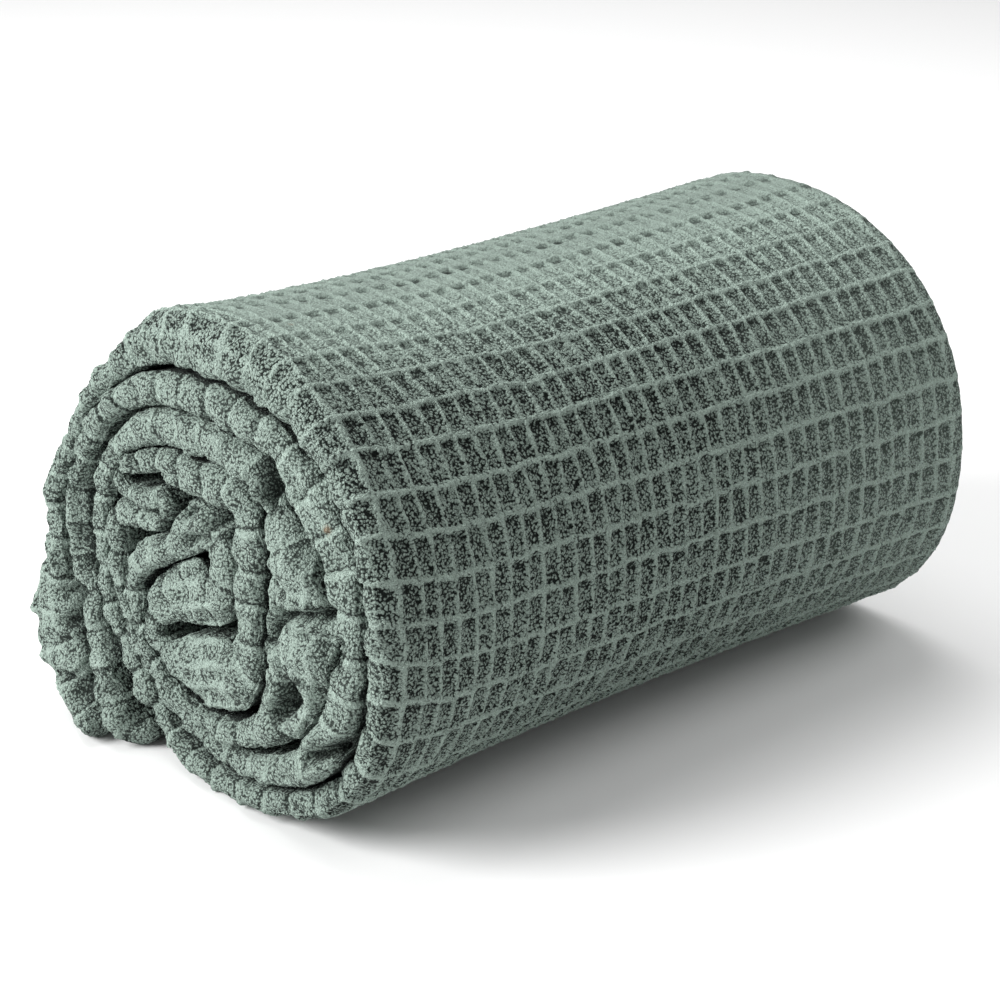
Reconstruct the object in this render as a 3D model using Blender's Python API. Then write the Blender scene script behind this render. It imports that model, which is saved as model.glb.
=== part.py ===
"""A waffle-weave cotton blanket, folded to a strip, doubled and rolled up.

The folded strip is one continuous solid. Seen from the near end it starts at a loose flap behind
the roll, makes the outer turn and the second turn, folds back on itself in the core and winds out
again between the first two, to a tail tucked under the roll. The roll's axis lies along X, the near
end is at -X, the front is at -Y, and the roll stands on z = 0.
"""
from collections import namedtuple

import bpy
import numpy as np

MM = 0.001

# Driving dimensions, in millimetres.
ROLL_LENGTH = 386.0       # along X, between the middles of the strip's two folded edges
ROLL_WIDTH = 249.2        # across the wound turns, without the loose flap
ROLL_HEIGHT = 239.8
ROUNDNESS = 2.2           # 2 is an ellipse, more is squarer where the roll's weight presses it
FLAT_SPOT = 0.8           # how far the underside is pressed flat
EDGE_DEPTH = 12.0         # how deep a folded edge is rounded
TURN_GAP = 1.3            # smallest space between turns that lie on each other
FAR_EDGE_SWAY = 2.5       # how unevenly the far end's turns stand out
FAR_EDGE_WAVE = 170.0     # length of strip over which they do so
SHARPEST_FOLD = 0.75      # half thickness inside a fold, as a share of the fold's radius
PIECES_PER_FOLD = 10      # points of the fine curve between two rows of the tables
FOLD_REACH = 6            # how many of those points a fold presses on to each side
FACING_REACH = 80.0       # turns farther apart than this don't touch
FACING_DETOUR = 1.75      # facing turns are this much farther apart along the strip than straight
SETTLING_ROUNDS = 4
LONGEST_STEP = 12.5       # station spacing along the strip where it runs straight
FINEST_STEP = 3.2         # and in its tightest folds
TIP_STEP = 1.5            # and at its two ends
STEP_TURN = 0.32          # turn of the strip from one station to the next, in radians
EDGE_ANGLES = np.radians((-90, -58, -28, 0, 28, 58, 90))

# Colour and finish.
SAGE_GREEN = (0.165, 0.205, 0.178, 1.0)
COTTON_ROUGHNESS = 0.95

# One row for each section or fold of the strip, in the order in which it runs. y and z are where the
# middle of its thickness lies before the roll is centred, and edge is how far its near edge stands
# out of the near end.
Fold = namedtuple("Fold", "y z thick edge")
# A turn that follows the roll's outline gives the direction from the roll's middle instead, from 0 at
# the back over 90 at the top to 180 at the front.
Arc = namedtuple("Arc", "direction thick edge")

LOOSE_FLAP = (
    Fold(y=93, z=8, thick=16, edge=21),       # tip on the floor
    Fold(y=113, z=9.5, thick=17, edge=20),
    Fold(y=132, z=26, thick=17, edge=17),
    Fold(y=140.5, z=54, thick=17, edge=12),   # bulges away from the roll
    Fold(y=138, z=84, thick=17, edge=7),
    Fold(y=138.5, z=112, thick=16, edge=3),
    Fold(y=127, z=139, thick=15, edge=0),
)
OUTER_TURN = (
    Arc(direction=28, thick=16, edge=-1),
    Arc(direction=45, thick=17, edge=-2),
    Arc(direction=65, thick=22, edge=-5),
    Arc(direction=90, thick=26, edge=-7),
    Arc(direction=112, thick=23, edge=-8),
    Arc(direction=135, thick=19, edge=-8),
    Arc(direction=158, thick=16, edge=-8),
    Arc(direction=180, thick=15.5, edge=-8),
    Arc(direction=202, thick=15, edge=-8),
    Arc(direction=225, thick=15.5, edge=-8),
    Arc(direction=248, thick=15, edge=-5),
    Arc(direction=270, thick=14, edge=-1),
    Arc(direction=284, thick=14, edge=0),
)
SECOND_TURN = (
    Fold(y=51, z=17, thick=14, edge=-2),
    Fold(y=67, z=30, thick=14, edge=-2),
    Fold(y=82, z=50, thick=13, edge=-1),
    Fold(y=93.5, z=72, thick=12, edge=0),     # up the back
    Fold(y=98.5, z=95, thick=12, edge=0),
    Fold(y=98.5, z=118, thick=13, edge=-1),
    Fold(y=94, z=138, thick=13, edge=-2),
    Fold(y=82, z=155.5, thick=14, edge=-3),
    Fold(y=63, z=171, thick=15, edge=-3),
    Fold(y=40, z=181, thick=16, edge=-3),
    Fold(y=14, z=185, thick=16, edge=-3),     # over the top
    Fold(y=-12, z=184.5, thick=16, edge=-5),
    Fold(y=-33, z=179, thick=17, edge=-12),
    Fold(y=-50, z=166, thick=26, edge=-20),   # drops back where it creases
    Fold(y=-60, z=147, thick=44, edge=-4),
    Fold(y=-61, z=124, thick=48, edge=0),     # crumpled thick at the front
    Fold(y=-60, z=99, thick=46, edge=0),
    Fold(y=-53, z=76, thick=36, edge=-2),
    Fold(y=-40, z=57.5, thick=22, edge=-4),
    Fold(y=-20, z=43.5, thick=13, edge=-5),
    Fold(y=2, z=36.5, thick=11, edge=-5),     # along the bottom
)
CORE = (
    Fold(y=25, z=36.5, thick=10, edge=-4),
    Fold(y=45, z=44, thick=10, edge=-3),
    Fold(y=60, z=58, thick=10, edge=-2),
    Fold(y=69.5, z=75, thick=10.5, edge=-2),
    Fold(y=71, z=92, thick=11, edge=-2),
    Fold(y=62, z=106, thick=12.5, edge=-3),
    Fold(y=46, z=117.5, thick=14, edge=-3),
    Fold(y=29, z=129, thick=20, edge=-4),
    Fold(y=12, z=136.5, thick=25, edge=-5),   # gathered thick
    Fold(y=-1, z=132, thick=22, edge=-6),
    Fold(y=-6, z=117.5, thick=15, edge=-6),   # first fold back
    Fold(y=-1, z=105, thick=15, edge=-7),
    Fold(y=11, z=97.5, thick=16, edge=-8),
    Fold(y=28, z=92, thick=16, edge=-8),
    Fold(y=45, z=87, thick=17, edge=-8),
    Fold(y=56, z=77.5, thick=18, edge=-7),
    Fold(y=55, z=65.5, thick=19, edge=-6),    # second fold back, the roll's very middle
    Fold(y=43, z=58.5, thick=22, edge=-6),
    Fold(y=26, z=58, thick=25, edge=-6),
    Fold(y=7, z=60, thick=27, edge=-7),
    Fold(y=-10, z=65.5, thick=23, edge=-7),
    Fold(y=-21, z=79, thick=18, edge=-6),
    Fold(y=-25, z=99, thick=17, edge=-6),
    Fold(y=-25, z=122, thick=17, edge=-5),
    Fold(y=-23, z=143, thick=18, edge=-5),
    Fold(y=-12, z=157, thick=18, edge=-4),
    Fold(y=8, z=162, thick=17, edge=-4),
    Fold(y=30, z=161.5, thick=15, edge=-4),
    Fold(y=51, z=158.5, thick=13, edge=-4),
    Fold(y=68, z=154.5, thick=11, edge=-5),
    Fold(y=78.5, z=147, thick=10, edge=-5),   # small curl near the top back
    Fold(y=74, z=138.5, thick=9, edge=-6),
    Fold(y=60, z=138.5, thick=8.5, edge=-7),
    Fold(y=48, z=139.5, thick=8, edge=-8),
    Fold(y=42, z=134.3, thick=8, edge=-9),
    Fold(y=48, z=129, thick=8, edge=-8),
    Fold(y=61, z=127.5, thick=9, edge=-6),
    Fold(y=75, z=121, thick=10, edge=-4),
)
RETURN_TURN = (
    Fold(y=83, z=109, thick=10.5, edge=-2),
    Fold(y=85, z=92, thick=10.5, edge=-1),
    Fold(y=81.5, z=74, thick=9.5, edge=-2),
    Fold(y=71.5, z=56, thick=9.5, edge=-3),
    Fold(y=56.5, z=40, thick=10, edge=-4),
    Fold(y=36, z=28.5, thick=10.5, edge=-5),
    Fold(y=10, z=22.5, thick=11, edge=-6),
    Fold(y=-14, z=23, thick=12, edge=-5),     # along the bottom
    Fold(y=-38, z=31, thick=14, edge=-4),
    Fold(y=-62, z=43, thick=17, edge=-1),
    Fold(y=-82, z=62, thick=19, edge=0),
    Fold(y=-94, z=88, thick=19, edge=0),
    Fold(y=-98.5, z=116, thick=18, edge=1),   # up the front
    Fold(y=-98, z=142, thick=19, edge=1),
    Fold(y=-89, z=166, thick=21, edge=0),
    Fold(y=-70, z=185.5, thick=20, edge=-2),
    Fold(y=-44, z=197.5, thick=18, edge=-3),
    Fold(y=-16, z=202.5, thick=17, edge=-3),
    Fold(y=10, z=203, thick=17, edge=-3),     # over the top
    Fold(y=36, z=199.5, thick=15, edge=-3),
    Fold(y=61, z=190.5, thick=14, edge=-3),
    Fold(y=83, z=176, thick=13, edge=-2),
    Fold(y=100, z=155, thick=13, edge=-1),
    Fold(y=113, z=132, thick=15, edge=0),
    Fold(y=118.5, z=108, thick=16, edge=1),
    Fold(y=115, z=83, thick=16, edge=2),      # down the back
    Fold(y=108, z=62, thick=17, edge=4),
    Fold(y=99, z=42, thick=17, edge=8),
    Fold(y=89, z=24, thick=17, edge=13),
    Fold(y=77, z=10.5, thick=17, edge=16),
    Fold(y=63, z=7, thick=13, edge=8),        # tail tucked under the roll
)


def outline_point(direction, inset):
    """A point of the roll's outline, a superellipse standing on z = 0, moved in by inset."""
    angle = np.radians(direction)
    across, up = np.cos(angle), np.sin(angle)
    half_width, half_height = ROLL_WIDTH / 2, ROLL_HEIGHT / 2
    y = half_width * np.sign(across) * abs(across) ** (2 / ROUNDNESS)
    z = half_height * np.sign(up) * abs(up) ** (2 / ROUNDNESS)
    normal = np.array((
        np.sign(y) * abs(y / half_width) ** (ROUNDNESS - 1) / half_width,
        np.sign(z) * abs(z / half_height) ** (ROUNDNESS - 1) / half_height,
    ))
    return np.array((y, z + half_height)) - inset * normal / np.linalg.norm(normal)


def strip_rows():
    """Every row of the tables as y, z, thickness and edge, from the flap's tip to the tail."""
    rows = [tuple(fold) for fold in LOOSE_FLAP]
    for arc in OUTER_TURN:
        y, z = outline_point(arc.direction, arc.thick / 2)
        rows.append((y, z, arc.thick, arc.edge))
    rows += [tuple(fold) for fold in SECOND_TURN + CORE + RETURN_TURN]
    return np.array(rows, float)


def spline(rows, pieces):
    """A centripetal Catmull-Rom curve through the rows, with this many pieces between each two."""
    ends = np.vstack((2 * rows[0] - rows[1], rows, 2 * rows[-1] - rows[-2]))
    curve = []
    for i in range(len(rows) - 1):
        four = ends[i:i + 4]
        gaps = np.sqrt(np.linalg.norm(np.diff(four[:, :2], axis=0), axis=1))
        knots = np.concatenate(((0.0,), np.cumsum(gaps)))
        at = np.linspace(knots[1], knots[2], pieces, endpoint=False)[:, None]
        level = list(four)
        for degree in (1, 2, 3):
            for j in range(4 - degree):
                low, high = knots[j], knots[j + degree]
                if degree == 3:
                    low, high = knots[1], knots[2]
                elif degree == 2:
                    low, high = knots[j], knots[j + 2]
                level[j] = ((high - at) * level[j] + (at - low) * level[j + 1]) / (high - low)
        curve.append(level[0])
    curve.append(rows[-1:])
    return np.vstack(curve)


def directions(line):
    """The unit tangent and the unit normal, to its left, at each point of a line."""
    tangent = np.gradient(line, axis=0)
    tangent /= np.linalg.norm(tangent, axis=1)[:, None]
    return tangent, np.stack((-tangent[:, 1], tangent[:, 0]), axis=1)


def distance_along(line):
    return np.concatenate(((0.0,), np.cumsum(np.linalg.norm(np.diff(line, axis=0), axis=1))))


def turning(line):
    """How sharply the line bends to its left at each point: one over the radius."""
    tangent, normal = directions(line)
    change = np.gradient(tangent, axis=0) / np.gradient(distance_along(line))[:, None]
    return (change * normal).sum(axis=1)


def smoothed(values, rounds):
    for _ in range(rounds):
        between = (values[:-2] + 2 * values[1:-1] + values[2:]) / 4
        values = np.concatenate((values[:1], between, values[-1:]))
    return values


def highest_near(values, reach):
    padded = np.pad(values, reach, mode="edge")
    return np.max([padded[k:k + len(values)] for k in range(2 * reach + 1)], axis=0)


def settled_sides(line, thick):
    """Half thicknesses to the strip's left and right, pressed in where the next turn lies."""
    along = distance_along(line)
    _, normal = directions(line)
    bend = turning(line)
    left, right = (
        smoothed(np.minimum(thick / 2, SHARPEST_FOLD / np.maximum(inside, 1e-6)), 8)
        for inside in (highest_near(bend, FOLD_REACH), highest_near(-bend, FOLD_REACH))
    )
    apart = line[None, :, :] - line[:, None, :]
    chord = np.linalg.norm(apart, axis=2)
    facing = np.abs(along[None, :] - along[:, None]) > FACING_DETOUR * chord
    facing &= (chord > 1e-6) & (chord < FACING_REACH)
    to_left = (apart * normal[:, None, :]).sum(axis=2) > 0
    for _ in range(SETTLING_ROUNDS):
        mine = np.where(to_left, left[:, None], right[:, None])
        fit = np.where(facing, (chord - TURN_GAP) / (mine + mine.T), 1.0)
        left = left * np.minimum(1, np.where(to_left, fit, 1.0).min(axis=1))
        right = right * np.minimum(1, np.where(to_left, 1.0, fit).min(axis=1))
    left, right = np.minimum(left, smoothed(left, 2)), np.minimum(right, smoothed(right, 2))
    from_end = np.minimum(along, along[-1] - along)
    for side in (left, right):
        within = np.clip(1 - from_end / side, 0, 0.97)
        side *= np.sqrt(1 - within ** 2)
    return left, right


def stations(fine):
    """Rows of the fine curve for the sections, closer together where it bends and at its ends."""
    along = distance_along(fine[:, :2])
    bend = np.abs(turning(fine[:, :2]))
    step = np.clip(STEP_TURN / np.maximum(bend, 1e-6), FINEST_STEP, LONGEST_STEP)
    from_end = np.minimum(along, along[-1] - along)
    step = np.minimum(step, TIP_STEP + from_end / 2)
    count_so_far = np.concatenate(((0.0,), np.cumsum(np.diff(along) / step[1:])))
    wanted = np.linspace(0, count_so_far[-1], int(round(count_so_far[-1])) + 1)
    at = np.interp(wanted, count_so_far, along)
    return np.stack([np.interp(at, along, column) for column in fine.T], axis=1)


def strip_sections():
    """Closed loops of points, one at each station, around the strip's rounded section."""
    fine = spline(strip_rows(), PIECES_PER_FOLD)
    _, normal = directions(fine[:, :2])
    left, right = settled_sides(fine[:, :2], fine[:, 2])
    rows = stations(np.column_stack((fine[:, :2], fine[:, 3], normal, left, right)))
    line, edge, normal, left, right = rows[:, :2], rows[:, 2], rows[:, 3:5], rows[:, 5], rows[:, 6]
    normal /= np.linalg.norm(normal, axis=1)[:, None]
    along = distance_along(line)
    far_edge = FAR_EDGE_SWAY * np.sin(2 * np.pi * along / FAR_EDGE_WAVE)
    loops = []
    for end, stands_out in ((-1, edge), (1, far_edge)):
        for angle in EDGE_ANGLES * -end:
            side = left if angle > 0 else right
            offset = side * np.sin(angle)
            inward = EDGE_DEPTH * (1 - np.cos(angle))
            x = end * (ROLL_LENGTH / 2 + stands_out - inward)
            yz = line + normal * offset[:, None]
            loops.append(np.column_stack((x, yz)))
    points = np.stack(loops, axis=1)
    points[..., 2] = np.maximum(points[..., 2] - FLAT_SPOT, 0.0)
    return points


def centred(points):
    """The points moved so that the origin is the middle of the part's underside."""
    low, high = points.min(axis=(0, 1)), points.max(axis=(0, 1))
    middle = (low + high) / 2
    return points - (middle[0], middle[1], low[2])


def cotton():
    material = bpy.data.materials.new("sage_cotton")
    material.use_nodes = True
    shader = material.node_tree.nodes["Principled BSDF"]
    shader.inputs["Base Color"].default_value = SAGE_GREEN
    shader.inputs["Roughness"].default_value = COTTON_ROUGHNESS
    shader.inputs["Metallic"].default_value = 0.0
    return material


def rolled_blanket():
    points = centred(strip_sections()) * MM
    sections, around = points.shape[:2]
    first = np.arange(sections - 1)[:, None] * around
    here = np.arange(around)[None, :]
    after = (here + 1) % around
    walls = np.stack((first + here, first + after, first + around + after, first + around + here), -1)
    faces = walls.reshape(-1, 4).tolist()
    faces.append(list(range(around))[::-1])
    faces.append(list(range((sections - 1) * around, sections * around)))
    mesh = bpy.data.meshes.new("rolled_blanket")
    mesh.from_pydata(points.reshape(-1, 3).tolist(), [], faces)
    mesh.shade_smooth()
    mesh.set_sharp_from_angle(angle=np.radians(50))
    mesh.materials.append(cotton())
    blanket = bpy.data.objects.new("rolled_blanket", mesh)
    bpy.context.collection.objects.link(blanket)
    return blanket


for leftover in list(bpy.data.objects):
    bpy.data.objects.remove(leftover)
rolled_blanket()
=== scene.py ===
from collections import namedtuple

import bpy
import numpy as np
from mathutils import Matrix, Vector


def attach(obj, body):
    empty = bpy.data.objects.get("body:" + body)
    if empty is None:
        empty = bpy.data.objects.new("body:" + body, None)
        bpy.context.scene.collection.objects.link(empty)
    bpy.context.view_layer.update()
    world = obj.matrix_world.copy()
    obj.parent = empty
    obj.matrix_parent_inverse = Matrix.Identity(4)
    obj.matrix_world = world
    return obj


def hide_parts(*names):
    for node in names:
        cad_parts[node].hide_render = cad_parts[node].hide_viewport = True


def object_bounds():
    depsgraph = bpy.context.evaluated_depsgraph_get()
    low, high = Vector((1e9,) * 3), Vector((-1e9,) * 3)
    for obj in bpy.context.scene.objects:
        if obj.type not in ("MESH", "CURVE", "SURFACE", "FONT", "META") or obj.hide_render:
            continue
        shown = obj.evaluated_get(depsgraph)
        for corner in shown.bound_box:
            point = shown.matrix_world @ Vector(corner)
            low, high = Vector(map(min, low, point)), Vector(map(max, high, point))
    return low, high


mm = 0.001
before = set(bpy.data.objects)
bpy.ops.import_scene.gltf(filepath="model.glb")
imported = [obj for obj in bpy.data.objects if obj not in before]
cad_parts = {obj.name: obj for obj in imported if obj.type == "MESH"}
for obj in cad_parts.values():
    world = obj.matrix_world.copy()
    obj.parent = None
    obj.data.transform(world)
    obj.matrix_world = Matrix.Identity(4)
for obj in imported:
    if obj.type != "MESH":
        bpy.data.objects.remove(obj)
cadLow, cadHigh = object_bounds()
print("frame loaded")

# A waffle-weave cotton blanket, folded to a strip, doubled and rolled up. Lengths are in millimetres
# until a mesh is made. s runs along the folded strip, from the loose flap's tip to the tucked tail.
roll = {
    "length": 386.0,          # along X, between the middles of the strip's two folded edges
    "width": 249.2,           # across the wound turns, without the loose flap
    "height": 239.8,
    "roundness": 2.2,         # 2 is an ellipse, more is squarer
    "flatSpot": 0.8,          # how far the underside is pressed flat
    "floorRounding": 0.3,     # and how softly it meets the floor
    "waist": 4.2,             # how much the roll narrows between its ends
    "waistShift": 0.85,       # below 1 its narrowest place is nearer the near end
    "flare": 3.5,             # how much its top swells just in from the near end
    "flareReach": 30.0,       # and over what length that fades
    "edgeDepth": 12.0,        # how deep a folded edge is rounded
    "innerDepth": 7.5,        # the same for the turns inside
    "edgeRound": 32.0,        # length of cloth that goes round a folded edge
    "edgeSquare": 0.78,       # 1 rounds it as an ellipse, less is squarer
    "edgeFade": 35.0,         # how far in the turns come level where an edge stands out
    "turnGap": 1.3,           # smallest space between turns that lie on each other
    "packing": 7.0,           # how much thicker the turns are inside, at most
    "packingShare": 1.5,      # and at most, as a share of their own thickness
    "farSway": 2.5,           # how unevenly the far end's inner turns stand out
    "farWave": 170.0,
    "farSwayFrom": 760.0,     # along the strip
    "furthestEdge": 21.0,     # how far the flap stands out of the near end
    "sharpestFold": 0.75,     # half thickness inside a fold, as a share of the fold's radius
    "facingRatio": 1.75,      # facing turns are this much farther apart along the strip than across
    "facingReach": 80.0,      # and no farther apart than this
}

# One row for each section or fold: y and z of the middle of the strip's thickness, its thickness, and
# how far its near and far edges stand out. An arc follows the roll's outline, in a direction in degrees
# from 0 at the back over 90 at the top.
fold = namedtuple("fold", "y z thick edge far", defaults=(8,))
arc = namedtuple("arc", "direction thick edge far")

looseFlap = (
    fold(86, 9, thick=18, edge=21),         # tip on the floor
    fold(97, 10.5, thick=20, edge=20),
    fold(107, 17, thick=27, edge=18),
    fold(117, 27, thick=38, edge=16.5),
    fold(126, 39, thick=48, edge=14.5),
    fold(133, 53, thick=46, edge=13),       # bulges away from the roll
    fold(134.5, 67, thick=36, edge=11),
    fold(133.5, 84, thick=26, edge=8),
    fold(135, 101, thick=19, edge=5),
    fold(140, 119, thick=17, edge=3),
    fold(134.5, 135, thick=15, edge=0),
    fold(121.5, 151, thick=13, edge=-1),
    fold(104.3, 176.5, thick=15, edge=0),
    fold(81.5, 197.5, thick=17, edge=-1),
)
outerTurn = (
    arc(direction=65, thick=22, edge=-5, far=8),
    arc(direction=90, thick=26, edge=-7, far=6),
    arc(direction=112, thick=23, edge=-8, far=4),
    arc(direction=135, thick=19, edge=-8, far=4),
    arc(direction=158, thick=16, edge=-8, far=5.5),
    arc(direction=180, thick=15.5, edge=-8, far=8),
    arc(direction=202, thick=15, edge=-8, far=11),
    arc(direction=225, thick=15.5, edge=-8, far=16),
    arc(direction=248, thick=15, edge=-5, far=15),
    arc(direction=270, thick=14, edge=-1, far=11),
    arc(direction=284, thick=14, edge=0, far=8),
)
secondTurn = (
    fold(51, 17, thick=14, edge=-2),
    fold(67, 30, thick=14, edge=-2),
    fold(82, 50, thick=13, edge=-1),
    fold(93.5, 72, thick=12, edge=0),       # up the back
    fold(97.5, 95, thick=11, edge=0),
    fold(97.5, 118, thick=12, edge=-1),
    fold(93, 138, thick=12, edge=-1),
    fold(81, 156, thick=14.5, edge=-2),
    fold(62.5, 171.5, thick=17, edge=-2),
    fold(40, 181.5, thick=18.5, edge=-2),
    fold(14, 185.5, thick=18.5, edge=-2),   # over the top
    fold(-12, 185, thick=18.5, edge=-2),
    fold(-35, 179, thick=23, edge=-4),
    fold(-49, 162, thick=25, edge=-5),
    fold(-60.5, 143, thick=49, edge=-4),
    fold(-61, 121, thick=51, edge=-4),      # crumpled thick at the front
    fold(-60, 97, thick=49, edge=-3),
    fold(-52.5, 75, thick=38, edge=-2),
    fold(-40, 57.5, thick=22, edge=-2),
    fold(-20, 43.5, thick=13, edge=-3),
    fold(2, 36.5, thick=11, edge=-3),       # along the bottom
)
core = (
    fold(25, 36.5, thick=10, edge=-3),
    fold(45, 44, thick=10, edge=-2),
    fold(61, 58, thick=10, edge=-1),
    fold(70.5, 75, thick=11, edge=-1),
    fold(72, 92, thick=12, edge=-1),
    fold(64, 105, thick=14, edge=-1),
    fold(48, 116.5, thick=17, edge=-1),
    fold(31, 128.5, thick=22, edge=-2),
    fold(13, 138.5, thick=29, edge=-2),     # gathered thick
    fold(-1, 135, thick=24, edge=-2),
    fold(-5, 120, thick=17, edge=-3),       # first fold back
    fold(2, 109, thick=28, edge=-3),
    fold(14, 104.5, thick=33, edge=-4),
    fold(30, 98.5, thick=31, edge=-4),
    fold(46, 90, thick=24.5, edge=-3),
    fold(56.5, 78, thick=17, edge=-3),
    fold(56, 65.5, thick=17, edge=-3),      # second fold back, the roll's very middle
    fold(43, 58.5, thick=24, edge=-3),
    fold(26, 60, thick=32, edge=-3),
    fold(7, 64, thick=38, edge=-3),
    fold(-9, 69, thick=32, edge=-3),
    fold(-21, 80, thick=20, edge=-3),
    fold(-25, 99, thick=18, edge=-2),
    fold(-25, 122, thick=19, edge=-2),
    fold(-27, 145, thick=24, edge=-2),
    fold(-22, 160, thick=25, edge=-3),
    fold(-6, 165, thick=21, edge=-2),
    fold(8, 164, thick=19, edge=-2),
    fold(30, 163.5, thick=18, edge=-2),
    fold(51, 160.5, thick=15, edge=-2),
    fold(68, 155.5, thick=12, edge=-2),
    fold(79.5, 147, thick=10, edge=-2),     # small curl near the top back
    fold(75, 138.5, thick=10, edge=-3),
    fold(60, 138, thick=11, edge=-3),
    fold(47, 141, thick=12, edge=-4),
    fold(40, 134.5, thick=9, edge=-5),
    fold(48, 128.5, thick=9, edge=-4),
    fold(63, 127.5, thick=13, edge=-3),
    fold(80, 124, thick=18, edge=-2),
)
returnTurn = (
    fold(85.5, 108, thick=12, edge=-1),
    fold(85, 92, thick=10.5, edge=-1),
    fold(81.5, 74, thick=9.5, edge=-2),
    fold(71.5, 56, thick=9.5, edge=-3),
    fold(56.5, 40, thick=10, edge=-4),
    fold(36, 28.5, thick=10.5, edge=-5),
    fold(10, 22.5, thick=11, edge=-6),
    fold(-14, 23, thick=12, edge=-5),       # along the bottom
    fold(-38, 31, thick=14, edge=-4),
    fold(-62, 43, thick=17, edge=-1),
    fold(-82.5, 61.5, thick=20, edge=-1),
    fold(-95, 88, thick=20, edge=-3),
    fold(-99.5, 114, thick=19, edge=-4),    # up the front
    fold(-98, 136, thick=21, edge=-6),
    fold(-91.5, 155, thick=26, edge=-7),
    fold(-78, 173, thick=31, edge=-7),
    fold(-62, 187.5, thick=31, edge=-6),
    fold(-41, 199, thick=22, edge=-5),
    fold(-16, 204, thick=19, edge=-4),
    fold(10, 205, thick=18, edge=-3),       # over the top
    fold(36, 202, thick=16, edge=-2),
    fold(62, 193.5, thick=15, edge=-1),
    fold(86, 178.5, thick=14, edge=0),
    fold(104.5, 157.5, thick=14, edge=0),
    fold(116.5, 134, thick=15, edge=0),
    fold(121.5, 108, thick=18, edge=1),
    fold(117, 86, thick=18, edge=2),        # down the back
    fold(103.5, 66, thick=19, edge=4),
    fold(95, 47, thick=21, edge=8),
    fold(87, 29, thick=26, edge=11),
    fold(77, 12, thick=22, edge=11),
    fold(63, 7, thick=13, edge=-2),         # tail tucked under the roll
)


def outlinePoint(direction, inset):
    # A superellipse standing on z = 0: |y / half width|^n + |z / half height|^n = 1, moved in along
    # its normal.
    across, up = np.cos(np.radians(direction)), np.sin(np.radians(direction))
    halfWidth, halfHeight, power = roll["width"] / 2, roll["height"] / 2, roll["roundness"]
    y = halfWidth * np.sign(across) * abs(across) ** (2 / power)
    z = halfHeight * np.sign(up) * abs(up) ** (2 / power)
    normal = np.array((
        np.sign(y) * abs(y / halfWidth) ** (power - 1) / halfWidth,
        np.sign(z) * abs(z / halfHeight) ** (power - 1) / halfHeight,
    ))
    return np.array((y, z + halfHeight)) - inset * normal / np.linalg.norm(normal)


def stripRows():
    # Every row of the strip from flap to tail, as y, z, thickness, near edge and far edge.
    rows = [tuple(row) for row in looseFlap]
    for row in outerTurn:
        y, z = outlinePoint(row.direction, row.thick / 2)
        rows.append((y, z, row.thick, row.edge, row.far))
    rows += [tuple(row) for row in secondTurn + core + returnTurn]
    return np.array(rows, float)


def curveThrough(rows, pieces):
    # A Catmull-Rom curve through the rows, its knots spaced by the square roots of the gaps.
    ends = np.vstack((2 * rows[0] - rows[1], rows, 2 * rows[-1] - rows[-2]))
    curve = []
    for i in range(len(rows) - 1):
        four = ends[i:i + 4]
        gaps = np.sqrt(np.linalg.norm(np.diff(four[:, :2], axis=0), axis=1))
        knots = np.concatenate(((0.0,), np.cumsum(gaps)))
        at = np.linspace(knots[1], knots[2], pieces, endpoint=False)[:, None]
        level = list(four)
        for degree, reach in ((1, 1), (2, 2), (3, 1)):
            for j in range(4 - degree):
                low = knots[j] if degree < 3 else knots[1]
                high = knots[j + reach] if degree < 3 else knots[2]
                level[j] = ((high - at) * level[j] + (at - low) * level[j + 1]) / (high - low)
        curve.append(level[0])
    curve.append(rows[-1:])
    return np.vstack(curve)


def distanceAlong(line):
    # The lengths of the line's segments, added up to each point.
    return np.concatenate(((0.0,), np.cumsum(np.linalg.norm(np.diff(line, axis=0), axis=1))))


def leftNormals(line):
    # The line's direction, turned a quarter turn to the left.
    tangent = np.gradient(line, axis=0)
    tangent /= np.linalg.norm(tangent, axis=1)[:, None]
    return np.stack((-tangent[:, 1], tangent[:, 0]), axis=1)


def turning(line):
    # Change of direction over distance: one over the radius, above zero where the line bends left.
    normal = leftNormals(line)
    tangent = np.stack((normal[:, 1], -normal[:, 0]), axis=1)
    change = np.gradient(tangent, axis=0) / np.gradient(distanceAlong(line))[:, None]
    return (change * normal).sum(axis=1)


def smoothed(values, rounds):
    # Half of each value and a quarter of each neighbour, again and again.
    for _ in range(rounds):
        between = (values[:-2] + 2 * values[1:-1] + values[2:]) / 4
        values = np.concatenate((values[:1], between, values[-1:]))
    return values


def highestNear(values, reach):
    # The highest value up to reach places away on either side.
    padded = np.pad(values, reach, mode="edge")
    return np.max([padded[k:k + len(values)] for k in range(2 * reach + 1)], axis=0)


def insideFold(thick, bend):
    # Half the thickness, or less where a fold is so tight that the cloth inside would cross itself.
    room = roll["sharpestFold"] / np.maximum(highestNear(bend, 6), 1e-6)
    return smoothed(np.minimum(thick / 2, room), 8)


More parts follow.
